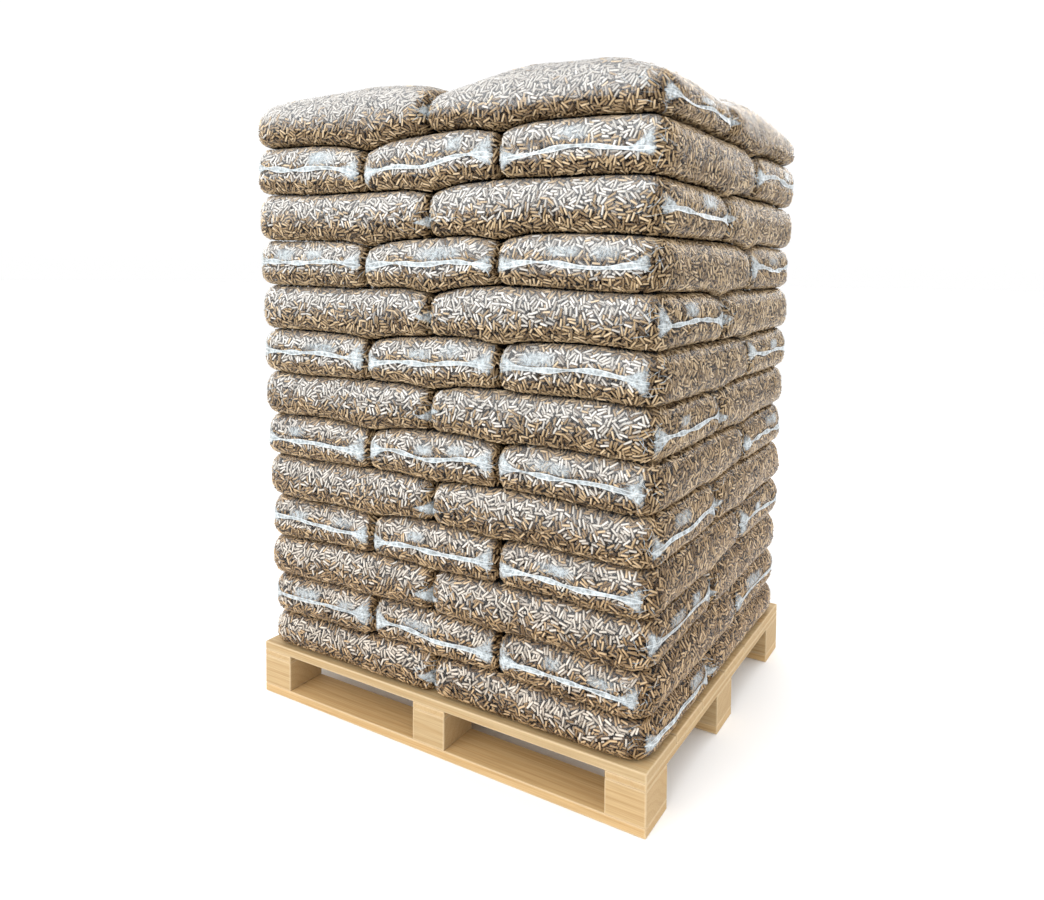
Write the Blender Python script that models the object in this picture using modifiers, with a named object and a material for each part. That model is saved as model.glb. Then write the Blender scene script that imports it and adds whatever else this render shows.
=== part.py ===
"""Pallet of sacks: a pine block pallet under thirteen bonded layers of soft filled sacks.

Metres, +Z up. The origin is on the floor under the middle of the pallet. X runs along the
pallet's long side, and -Y is the long face that is seen first.
"""
import math

import bmesh
import bpy
from mathutils import Vector

# Clearance between pieces that rest on each other, and tolerances for cutting and welding
GAP = 0.0003
WELD = 0.00005
CUT_TOLERANCE = 0.0000001
SMOOTH_ANGLE = math.radians(50)

# Pallet, from the floor up
PALLET_LENGTH = 1.200
PALLET_WIDTH = 1.000
RUNNER_THICKNESS = 0.023
BLOCK_HEIGHT = 0.081
CROSS_BOARD_THICKNESS = 0.017
DECK_BOARD_THICKNESS = 0.023
BLOCK_LENGTH = 0.101
BLOCK_WIDTH = 0.114
DECK_BOARD_COUNT = 6
DECK_BOARD_SPACING = 0.004
WOOD_EDGE = 0.0015

# Sacks: each is 2 bond units long and 2/3 of that wide, so 2 lengths make 3 widths
SACK_LENGTH = 0.600
SACK_WIDTH = 0.400
LAYER_COUNT = 13
FIRST_LAYER_HEIGHT = 0.090
SECOND_LAYER_HEIGHT = 0.110
UPPER_LAYER_HEIGHT = 0.126
TOP_LAYER_EDGE_HEIGHT = 0.098
TOP_LAYER_CROWN = 0.080
TOP_CROWN_POWER = 2.6

# How the layers spread, drift and sag into the seams of the layer below
SPREAD_LOW = 0.984
SPREAD_HIGH = 1.048
DRIFT = 0.0015
DRIFT_STEP_X = 1.7
DRIFT_STEP_Y = 2.9
SAG_LOW = 0.004
SAG_HIGH = 0.015

# The low layers arch up between the stack's ends, and the high ones sink on its left
ARCH_LOW = 0.016
ARCH_HIGH = -0.004
ARCH_REST = 0.3
SWAY_HIGH = -0.010

# A sack's wall: the rim ring lies flat, the shoulder drops to the wall, the wall bulges
RIM = 0.038
SHOULDER_INSET = 0.009
SHOULDER_DROP = 0.020
WALL_BULGE = 0.006
BELLY_LENGTHWISE = 0.46
BELLY_CROSSWISE = 0.54
CORNER_CUT = 1 - math.sqrt(0.5)

# The sag is planar inside each cell of this grid, and every seam lies on one of its lines
GRID_STEP = 0.200
TOP_GRID_STEP = 0.100
NEAR_LINE = GRID_STEP / 4

PINE = (0.78, 0.60, 0.38)
PINE_END = (0.72, 0.53, 0.32)
PELLET_FILL = (0.50, 0.40, 0.28)
WOOD_ROUGHNESS = 0.65
FILM_ROUGHNESS = 0.35


def clear_scene():
    """Remove whatever the file opened with."""
    for item in list(bpy.data.objects):
        bpy.data.objects.remove(item, do_unlink=True)


def new_collection(name):
    """Make a collection under the scene."""
    collection = bpy.data.collections.new(name)
    bpy.context.scene.collection.children.link(collection)
    return collection


def finish_with(item, colour, roughness):
    """Give an object its own Principled material."""
    material = bpy.data.materials.new(item.name + "_finish")
    material.use_nodes = True
    shader = material.node_tree.nodes["Principled BSDF"]
    shader.inputs["Base Color"].default_value = (*colour, 1.0)
    shader.inputs["Roughness"].default_value = roughness
    shader.inputs["Metallic"].default_value = 0.0
    material.diffuse_color = (*colour, 1.0)
    item.data.materials.append(material)


def object_from(bm, name, collection):
    """Turn a bmesh into a named object in a collection."""
    mesh = bpy.data.meshes.new(name)
    bm.to_mesh(mesh)
    bm.free()
    item = bpy.data.objects.new(name, mesh)
    collection.objects.link(item)
    return item


# The pallet


def timber(name, low, size, colour, collection):
    """Make one sawn piece from its low corner and size, with slightly broken edges."""
    bm = bmesh.new()
    bmesh.ops.create_cube(bm, size=1.0)
    bmesh.ops.scale(bm, vec=Vector(size), verts=bm.verts)
    item = object_from(bm, name, collection)
    item.location = [start + length / 2 for start, length in zip(low, size)]
    edge = item.modifiers.new("broken_edges", "BEVEL")
    edge.width = WOOD_EDGE
    edge.segments = 1
    finish_with(item, colour, WOOD_ROUGHNESS)


def spread_places(total, width):
    """Low ends of three pieces of one width: flush left, centred and flush right."""
    return (-total / 2, -width / 2, total / 2 - width)


def build_pallet(collection):
    """Build runners, blocks, cross boards and deck boards, and return the deck's height."""
    rows = dict(zip(("front", "middle", "rear"), spread_places(PALLET_WIDTH, BLOCK_WIDTH)))
    columns = dict(zip(("left", "centre", "right"), spread_places(PALLET_LENGTH, BLOCK_LENGTH)))
    left = -PALLET_LENGTH / 2
    front = -PALLET_WIDTH / 2

    level = 0.0
    for row, y in rows.items():
        size = (PALLET_LENGTH, BLOCK_WIDTH, RUNNER_THICKNESS - GAP)
        timber(f"runner_{row}", (left, y, level), size, PINE, collection)
    level += RUNNER_THICKNESS
    for row, y in rows.items():
        for column, x in columns.items():
            size = (BLOCK_LENGTH, BLOCK_WIDTH, BLOCK_HEIGHT - GAP)
            timber(f"block_{row}_{column}", (x, y, level), size, PINE_END, collection)
    level += BLOCK_HEIGHT
    for column, x in columns.items():
        size = (BLOCK_LENGTH, PALLET_WIDTH, CROSS_BOARD_THICKNESS - GAP)
        timber(f"cross_board_{column}", (x, front, level), size, PINE, collection)
    level += CROSS_BOARD_THICKNESS
    spare = PALLET_WIDTH - DECK_BOARD_SPACING * (DECK_BOARD_COUNT - 1)
    board_width = spare / DECK_BOARD_COUNT
    for index in range(DECK_BOARD_COUNT):
        y = front + index * (board_width + DECK_BOARD_SPACING)
        size = (PALLET_LENGTH, board_width, DECK_BOARD_THICKNESS - GAP)
        timber(f"deck_board_{index + 1}", (left, y, level), size, PINE, collection)
    return level + DECK_BOARD_THICKNESS


# The stack's layers and the surfaces between them


def part_way(low, high, layer):
    """A value that grows evenly from the first layer to the last."""
    return low + (high - low) * (layer - 1) / (LAYER_COUNT - 1)


def interface_level(interface, deck):
    """Mean height of the surface on top of a layer; interface 0 is the deck."""
    if interface == 0:
        return deck
    level = deck + FIRST_LAYER_HEIGHT
    for layer in range(2, interface + 1):
        share = (layer - 2) / (LAYER_COUNT - 3)
        level += SECOND_LAYER_HEIGHT + (UPPER_LAYER_HEIGHT - SECOND_LAYER_HEIGHT) * share
    return level


def is_odd(layer):
    """Odd layers show two sacks lengthwise on the front face, even ones three crosswise."""
    return layer % 2 == 1


def seam_lines(layer):
    """The seams of a layer that the next layer sags into: their X values and their Y value."""
    half_bond = (SACK_LENGTH - SACK_WIDTH) / 2
    if is_odd(layer):
        return (0.0,), -half_bond
    return (-SACK_WIDTH / 2, SACK_WIDTH / 2), half_bond


def along_lines(value, half_length, at_line):
    """Read a height at the grid lines on both sides of a value, and go evenly between them."""
    held = min(max(value, -half_length), half_length - CUT_TOLERANCE)
    cell = math.floor((held + half_length) / GRID_STEP)
    start = cell * GRID_STEP - half_length
    share = (held - start) / GRID_STEP
    return (1 - share) * at_line(start) + share * at_line(start + GRID_STEP)


def sag(line, half_length, seams, depth):
    """Sag at a grid line: down at the seams, up between them, level at the ends."""
    if abs(abs(line) - half_length) < NEAR_LINE:
        return 0.0
    on_seam = any(abs(line - seam) < NEAR_LINE for seam in seams)
    return -depth if on_seam else depth / 2


def bow(line, interface):
    """How far the surface arches up along the stack, and sinks on its left, at a grid line."""
    turn = math.pi * (line / PALLET_LENGTH + 0.5)
    arch = part_way(ARCH_LOW, ARCH_HIGH, interface) * (math.sin(turn) - ARCH_REST)
    return arch + part_way(0.0, SWAY_HIGH, interface) * math.sin(2 * turn)


def interface_height(interface, x, y, deck):
    """Height of the surface between two layers at a point of the plan."""
    level = interface_level(interface, deck)
    if interface == 0:
        return level
    seams_x, seam_y = seam_lines(interface)
    depth = part_way(SAG_LOW, SAG_HIGH, interface)

    def lengthwise(line):
        return sag(line, PALLET_LENGTH / 2, seams_x, depth) + bow(line, interface)

    def crosswise(line):
        return sag(line, PALLET_WIDTH / 2, (seam_y,), depth)

    level += along_lines(x, PALLET_LENGTH / 2, lengthwise)
    return level + along_lines(y, PALLET_WIDTH / 2, crosswise)


def crown_height(sack, x, y, deck):
    """Height of a top sack's free upper side, which nothing presses flat."""
    centre, half = sack
    across = 1 - min(1.0, abs(x - centre[0]) / half[0]) ** TOP_CROWN_POWER
    along = 1 - min(1.0, abs(y - centre[1]) / half[1]) ** TOP_CROWN_POWER
    edge = interface_level(LAYER_COUNT - 1, deck) + TOP_LAYER_EDGE_HEIGHT
    return edge + TOP_LAYER_CROWN * across * along


def layer_plan(layer):
    """The five sacks of a layer, each as its centre and half size in the plan."""
    spread = part_way(SPREAD_LOW, SPREAD_HIGH, layer)
    drift = DRIFT if layer < LAYER_COUNT else 0.0
    shift = (drift * math.sin(DRIFT_STEP_X * layer), drift * math.cos(DRIFT_STEP_Y * layer))
    lengthwise = (SACK_LENGTH / 2, SACK_WIDTH / 2)
    crosswise = (SACK_WIDTH / 2, SACK_LENGTH / 2)
    side = -1 if is_odd(layer) else 1
    lengthwise_y = side * (PALLET_WIDTH - SACK_WIDTH) / 2
    crosswise_y = -side * (PALLET_WIDTH - SACK_LENGTH) / 2
    sacks = [((x, lengthwise_y), lengthwise) for x in (-SACK_LENGTH / 2, SACK_LENGTH / 2)]
    sacks += [((x, crosswise_y), crosswise) for x in (-SACK_WIDTH, 0.0, SACK_WIDTH)]
    plan = []
    for centre, half in sacks:
        place = tuple(spread * c + s for c, s in zip(centre, shift))
        plan.append((place, tuple(spread * h for h in half)))
    return plan


# One sack


def cut_lines(centre, half, start, step):
    """Where a sack's faces are cut along one axis: both rim rings and the grid lines between."""
    low, high = centre - half + RIM, centre + half - RIM
    first = math.ceil((low - start) / step)
    last = math.floor((high - start) / step)
    return [low, high] + [start + index * step for index in range(first, last + 1)]


def shaped_point(point, sack, under, over):
    """Move a point of the cut box onto the sack: flat where pressed, round at rim and wall."""
    centre, half = sack
    across, along, level = point.x - centre[0], point.y - centre[1], point.z
    at_end = abs(abs(across) - half[0]) < GAP
    at_side = abs(abs(along) - half[1]) < GAP
    floor = under(point.x, point.y) + GAP / 2
    ceiling = over(point.x, point.y) - GAP / 2
    if not (at_end or at_side):
        return Vector((point.x, point.y, ceiling if level > 0 else floor))
    if abs(level) < GAP:
        belly = BELLY_LENGTHWISE if half[0] > half[1] else BELLY_CROSSWISE
        outward, height = WALL_BULGE, floor + belly * (ceiling - floor)
    elif level > 0:
        outward, height = -SHOULDER_INSET, ceiling - SHOULDER_DROP
    else:
        outward, height = -SHOULDER_INSET, floor + SHOULDER_DROP
    if at_end and at_side:
        outward -= CORNER_CUT * RIM
    x = point.x + (math.copysign(outward, outward * across) if at_end else 0.0)
    y = point.y + (math.copysign(outward, outward * along) if at_side else 0.0)
    return Vector((x, y, height))


def sack_solid(name, sack, under, over, step, collection):
    """Shape a cut box into a sack that fills the space between the surfaces under and over."""
    centre, half = sack
    bm = bmesh.new()
    bmesh.ops.create_cube(bm, size=1.0)
    bmesh.ops.scale(bm, vec=(2 * half[0], 2 * half[1], 1.0), verts=bm.verts)
    bmesh.ops.translate(bm, vec=(*centre, 0.0), verts=bm.verts)
    cuts = [((0, 0, 1), 0.0)]
    cuts += [((1, 0, 0), x) for x in cut_lines(centre[0], half[0], -PALLET_LENGTH / 2, step)]
    cuts += [((0, 1, 0), y) for y in cut_lines(centre[1], half[1], -PALLET_WIDTH / 2, step)]
    for normal, distance in cuts:
        geometry = bm.verts[:] + bm.edges[:] + bm.faces[:]
        place = Vector(normal) * distance
        bmesh.ops.bisect_plane(bm, geom=geometry, plane_co=place, plane_no=normal,
                               dist=CUT_TOLERANCE)
    for vert in bm.verts:
        vert.co = shaped_point(vert.co.copy(), sack, under, over)
    bmesh.ops.triangulate(bm, faces=bm.faces)
    return object_from(bm, name, collection)


def joined(pieces, name, collection):
    """Unite overlapping pieces into one body, and remove them."""
    others = new_collection("pieces_of_" + name)
    for piece in pieces[1:]:
        collection.objects.unlink(piece)
        others.objects.link(piece)
    union = pieces[0].modifiers.new("join", "BOOLEAN")
    union.operation = "UNION"
    union.solver = "EXACT"
    union.operand_type = "COLLECTION"
    union.collection = others
    graph = bpy.context.evaluated_depsgraph_get()
    bm = bmesh.new()
    bm.from_object(pieces[0], graph)
    bmesh.ops.remove_doubles(bm, verts=bm.verts, dist=WELD)
    bmesh.ops.dissolve_degenerate(bm, edges=bm.edges, dist=WELD)
    for piece in pieces:
        bpy.data.objects.remove(piece, do_unlink=True)
    bpy.data.collections.remove(others)
    return object_from(bm, name, collection)


def build_layer(layer, deck, collection):
    """Build one bonded layer: five sacks that press together at half their height."""
    def under(x, y):
        return interface_height(layer - 1, x, y, deck)

    def over(x, y):
        return interface_height(layer, x, y, deck)

    sacks = []
    top = layer == LAYER_COUNT
    for index, sack in enumerate(layer_plan(layer)):
        def crown(x, y, sack=sack):
            return crown_height(sack, x, y, deck)

        upper = crown if top else over
        step = TOP_GRID_STEP if top else GRID_STEP
        name = f"sack_{layer:02d}_{index + 1}"
        sacks.append(sack_solid(name, sack, under, upper, step, collection))
    stack = joined(sacks, f"sack_layer_{layer:02d}", collection)
    stack.data.shade_smooth()
    stack.data.set_sharp_from_angle(angle=SMOOTH_ANGLE)
    finish_with(stack, PELLET_FILL, FILM_ROUGHNESS)


def build():
    """Build the whole loaded pallet."""
    clear_scene()
    collection = new_collection("pallet_of_sacks")
    deck = build_pallet(collection)
    for layer in range(1, LAYER_COUNT + 1):
        build_layer(layer, deck, collection)


build()
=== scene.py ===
"""Looks of the pallet of sacks: 65 clear film sacks full of wood pellets on a pine pallet.

Metres, +Z up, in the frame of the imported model. A layer's sacks are pillow shells of film. Under
the film lie loose pellets, and under those a closed core. Sizes repeat those of the CAD solids.
"""
import math

import bpy
import numpy as np
from mathutils import Matrix, Vector


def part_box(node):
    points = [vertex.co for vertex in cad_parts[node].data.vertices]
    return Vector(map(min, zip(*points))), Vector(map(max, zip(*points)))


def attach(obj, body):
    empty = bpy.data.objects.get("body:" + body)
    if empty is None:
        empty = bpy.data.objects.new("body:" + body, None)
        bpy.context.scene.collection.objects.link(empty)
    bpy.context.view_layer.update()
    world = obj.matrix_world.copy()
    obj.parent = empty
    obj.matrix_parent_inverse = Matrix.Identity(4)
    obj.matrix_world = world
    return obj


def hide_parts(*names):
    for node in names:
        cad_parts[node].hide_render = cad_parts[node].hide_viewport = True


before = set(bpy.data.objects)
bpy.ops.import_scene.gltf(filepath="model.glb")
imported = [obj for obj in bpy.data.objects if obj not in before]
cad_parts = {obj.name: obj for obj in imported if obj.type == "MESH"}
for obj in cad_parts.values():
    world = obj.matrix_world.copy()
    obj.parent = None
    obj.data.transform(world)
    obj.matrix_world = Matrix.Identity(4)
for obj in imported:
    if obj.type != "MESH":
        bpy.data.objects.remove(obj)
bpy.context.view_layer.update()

SCENE = bpy.context.scene
BODY = "root"

# Seeds of the random draws
PATCH_SEED = 11
PINE_SEED = 40
END_SEED = 7000
TAB_SEED = 9000

# Stack, as in the CAD model
PALLET_LENGTH = 1.200
PALLET_WIDTH = 1.000
DECK_TOP = 0.144
SACK_LENGTH = 0.600
SACK_WIDTH = 0.400
LAYER_COUNT = 13
FIRST_LAYER_HEIGHT = 0.090
SECOND_LAYER_HEIGHT = 0.110
UPPER_LAYER_HEIGHT = 0.126
TOP_LAYER_EDGE_HEIGHT = 0.098
TOP_LAYER_CROWN = 0.080
TOP_CROWN_POWER = 2.6
LEFT_EDGE_RISE = 0.015
LEFT_CROWN = 0.058
LEFT_CROWN_POWER = 4.2
SPREAD_LOW = 0.984
SPREAD_HIGH = 1.048
DRIFT = 0.0015
DRIFT_STEP_X = 1.7
DRIFT_STEP_Y = 2.9

# How each layer's top gives way: it sinks at its seams and arches between them
SAG_LOW = 0.005
SAG_HIGH = 0.017
SAG_WIDTH = 0.060
SAG_RISE = 1 / 3
SEAM_BLEND = 0.070
ARCH_LOW = 0.016
ARCH_HIGH = -0.004
ARCH_DROP = 0.3
SWAY_HIGH = -0.010
RIPPLE = 0.0025

# The noise that ripples the surfaces: how many waves it sums, how far their pitch varies, what
# brings the sum to about 1, and how long they are on a layer, a crown and a wall
WAVES = 7
WAVE_RANGE = (0.6, 1.5)
WAVE_PEAK = 3.2
LAYER_WAVE = 0.35
CROWN_WAVE = 0.30
WALL_WAVE = 0.13
WALL_WAVE_HEIGHT = 0.05

# A sack's wall. The rim is how far it rounds inward, and less toward a neighbouring sack
RIM = 0.038
TOP_RIM = 0.050
SEAM_RIM = 0.030
TOP_SEAM_RIM = 0.036
OUTER_CORNER = 0.026
SEAM_CORNER = 0.010
SEAM_CORNER_POWER = 2.6
BULGE = 0.005
BELLY = 0.46
UPPER_ROUNDNESS = 2.5
LOWER_ROUNDNESS = 2.9
SEAM_ROUNDNESS = 3.2
WALL_RIPPLE = 0.0022
SEAL_DENT = 0.004
SEAL_DENT_HEIGHT = 0.16
FILM_GAP = 0.0004

# How finely a sack is meshed: cells along, cells across, steps round a corner, steps up the wall
FILM_MESH = (11, 7, 4, 10)
CORE_MESH = (8, 5, 3, 8)
FINE_MESH = (40, 26, 8, 16)
CORE_DEPTH = 0.0135

# Pellets are packed on a patch that repeats, in an outer and a deeper sheet
PATCH_SIZE = (1.2, 0.3)
PATCH_CELL = 0.001
PELLET_RADIUS = 0.0032
OUTER_PASSES = ((0.022, 0.0165, 12500), (0.0165, 0.012, 16000), (0.012, 0.0085, 18000),
                (0.0085, 0.0062, 18000))
DEEPER_PASSES = ((0.022, 0.0165, 5000), (0.0165, 0.012, 6200))
DEEPER_BY = 0.0037
SMALL_DEEPER_BY = 0.0010
DEPTH_SCATTER = 0.0012
PELLET_TILT = 0.09
PELLET_RIDGE = 1.05
PELLET_SIZES = (0.94, 1.04)
SWIRL = 0.65
SWIRL_WAVE = 0.09
SWIRL_SCATTER = 0.35
SQUEEZE = 0.50
TEST_POINTS = (8, 4)
CROWDING = 1.15
WALL_START_TOP = -0.3

# Pellets' tones, from 0 to 1, and half the width of a pellet's place on its map. The deeper sheet
# and the small pellets are painted darker, as painted shade between the outer pellets
TONE_MEAN = 0.64
TONE_SCATTER = 0.23
DEEPER_PAINTED_SHADE = 0.30
SMALL_PAINTED_SHADE = 0.04
TONE_LIMITS = (0.02, 0.96)
MAP_WIDTH = 0.004

# How much of a smooth surface's reflection the film has. It clings to the pellets, and a white
# painted sheen, a painted reflection, is put on them and on the film where it faces up or to the
# front
FILM_VEIL = 0.42
PAINTED_SHEEN_UP = 0.45
PAINTED_SHEEN_FRONT = 0.55
PAINTED_SHEEN_START_LOW = 0.575
PAINTED_SHEEN_START_HIGH = 0.550
PAINTED_SHEEN_START_TOP = 0.600
PAINTED_SHEEN_SCATTER = 0.045
PAINTED_SHEEN_COVER_LOW = 0.05
PAINTED_SHEEN_COVER_HIGH = 0.19
PAINTED_SHEEN_END = 0.80
PAINTED_SHEEN_END_SCATTER = 0.07
EXPOSED_DEPTH = 0.050

# On the top layer the white painted sheen reaches over the crown, and greys as it turns up. The top
# layer's other pellets are painted darker, as painted shade
CROWN_UP = 0.90
CROWN_SCATTER = 0.03
CROWN_SHEEN_TONE = 0.66
CROWN_SHEEN_GREYING = 0.46
TOP_SIDE_PAINTED_SHADE = 0.9

# The lower sacks look warmer, up to this height
WARM_BELOW = 1.0
LOW_TINT = (1.0, 0.91, 0.81)

# Welded seals at the sack ends: a strip with a flare of slack film at both corners
SEAL_HALF = 0.0050
SEAL_LIFT = 0.0016
SEAL_WRAP = 0.42
SEAL_COLUMNS = 56
SEAL_LEVEL = (-0.10, 0.14)
SEAL_SLOPE = (-0.09, 0.09)
SEAL_WAVE = 0.34
SEAL_WAVINESS = 0.07
SEAL_WIDTH_WAVE = 0.12
SEAL_END = 0.020
SEAL_FADE = 0.010
WELD_SPAN = 0.2
OFF_WELD = 0.95
HIGHEST_ROOM = 0.062
FLARE_REACH = (0.040, 0.060)
FLARE_UP = (0.022, 0.050)
FLARE_DOWN = (0.012, 0.040)
FLARE_LEAST = 0.0008

# Tabs of film at the corners of hidden ends, in shares of a corner and metres
TAB_COLUMNS = 14
TAB_INSIDE = 0.15
TAB_REACH = (0.055, 0.080)
TAB_HALF = (0.024, 0.036)
TAB_LEVEL = (-0.25, 0.10)
TAB_SLOPE = (-0.15, 0.15)
TAB_POWER = 1.3
TAB_STRENGTH = (0.75, 1.0)

# Laps of slack film above a weld, and bright crease lines round the corners: painted highlights on
# the film's wrinkles
LAP_CELLS = (12, 7)
LAP_WIDTH = (0.05, 0.12)
LAP_MARGIN = 0.01
LAP_LEVEL = (0.12, 0.20)
LAP_HEIGHT = (0.4, 0.6)
LAP_STRENGTH = (0.55, 0.90)
CREASE_COLUMNS = 7
CREASE_COUNT = (5, 10)
CREASE_FAN = 1.1
CREASE_BEND = 0.4
CREASE_LEVEL = (-0.5, 0.7)
CREASE_LENGTH = (0.014, 0.048)
CREASE_HALF = (0.0006, 0.0013)
CREASE_SPREAD = 0.022
CREASE_HEIGHT = 0.06
TAB_CREASES_OUT = 0.04

# Pine
PINE_EARLY = (0.505, 0.366, 0.195)
PINE_LATE = (0.445, 0.303, 0.145)
PINE_END = (0.45, 0.305, 0.150)
PINE_EDGE_WEAR_AND_HIGHLIGHT = (0.62, 0.49, 0.31)
PITH_DISTANCE = 0.12
RING_SPACING = 0.019
# Runners are painted lighter: painted light against the shade under the deck
RUNNER_PAINTED_LIGHT = 1.2

# Brightness of the world at the horizon and overhead
WORLD_LIGHT = (1.00, 1.28)

# Soft lights: name, place, target, size and brightness
LIGHTS = (
    ("overhead", (0.1, -0.7, 4.2), (0.0, -0.1, 1.0), (3.0, 3.0), 0.8),
    ("front_box", (-0.8, -3.9, 2.9), (0, 0, 0.8), (5.5, 3.6), 2.6),
    ("right_box", (4.4, 0.8, 2.8), (0.4, 0, 0.9), (3.6, 2.6), 1.2),
    ("back_box", (0.6, 4.4, 3.2), (0, 0, 0.8), (4.5, 3.0), 2.0),
    ("left_box", (-4.4, 0.6, 2.8), (-0.4, 0, 0.9), (3.6, 2.6), 1.2),
)
FLOOR_RADIUS = 60
FLOOR_DROP = 0.0004

# The photograph's camera, in pixels of its frame, degrees and metres
PHOTO_SIZE = (1044, 900)
PHOTO_CENTRE = (588.7, 305.0)
FOCAL_PIXELS = 790.2
SENSOR = 36.0
CAMERA_TURN = (-29.03, 2.61, 0.68)
CAMERA_PLACE = (1.276, -1.996, 1.219)


def part_way(low, high, layer):
    """A value that grows evenly from the first layer to the last."""
    return low + (high - low) * (layer - 1) / (LAYER_COUNT - 1)


def is_odd(layer):
    """Odd layers have two sacks lengthwise in front, even ones three crosswise."""
    return layer % 2 == 1


def smooth_step(value):
    """Rise smoothly from 0 to 1 as value goes from -1 to 1."""
    t = np.clip(value / 2 + 0.5, 0, 1)
    return t * t * (3 - 2 * t)


def ripple(points, wavelength, seed):
    """Smooth repeatable noise from about -1 to 1 at points in space."""
    rng = np.random.default_rng(seed)
    total = np.zeros(len(points))
    for _ in range(WAVES):
        direction = rng.normal(size=points.shape[1])
        direction *= rng.uniform(*WAVE_RANGE) / np.linalg.norm(direction)
        total += np.sin(points @ direction * (2 * math.pi / wavelength) + rng.uniform(0, 6.3))
    return total / WAVE_PEAK


# The surfaces between the layers


def interface_level(interface):
    """Mean height of the surface on top of a layer; interface 0 is the deck."""
    if interface == 0:
        return DECK_TOP
    level = DECK_TOP + FIRST_LAYER_HEIGHT
    for layer in range(2, interface + 1):
        share = (layer - 2) / (LAYER_COUNT - 3)
        level += SECOND_LAYER_HEIGHT + (UPPER_LAYER_HEIGHT - SECOND_LAYER_HEIGHT) * share
    return level


def sink(value, seams, depth):
    """Sag into the seams of the layer below, and rise a little between them."""
    total = np.full_like(value, depth * SAG_RISE)
    for seam in seams:
        total -= depth * np.exp(-(((value - seam) / SAG_WIDTH) ** 2))
    return total


def interface_height(interface, x, y):
    """Height of the surface between two layers, at points of the plan."""
    level = np.full_like(x, interface_level(interface))
    if interface == 0:
        return level
    depth = part_way(SAG_LOW, SAG_HIGH, interface)
    pair, trio = (0.0,), (-SACK_WIDTH / 2, SACK_WIDTH / 2)
    side = -1 if is_odd(interface) else 1
    seam_y = side * (SACK_LENGTH - SACK_WIDTH) / 2
    pairs = smooth_step(side * (y - seam_y) / SEAM_BLEND)
    level += pairs * sink(x, pair, depth) + (1 - pairs) * sink(x, trio, depth)
    level += sink(y, (seam_y,), depth)
    turn = math.pi * np.clip(x / PALLET_LENGTH + 0.5, 0, 1)
    level += part_way(ARCH_LOW, ARCH_HIGH, interface) * (np.sin(turn) - ARCH_DROP)
    level += part_way(0.0, SWAY_HIGH, interface) * np.sin(2 * turn)
    return level + RIPPLE * ripple(np.stack([x, y], 1), LAYER_WAVE, 100 + interface)


# The sacks


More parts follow.
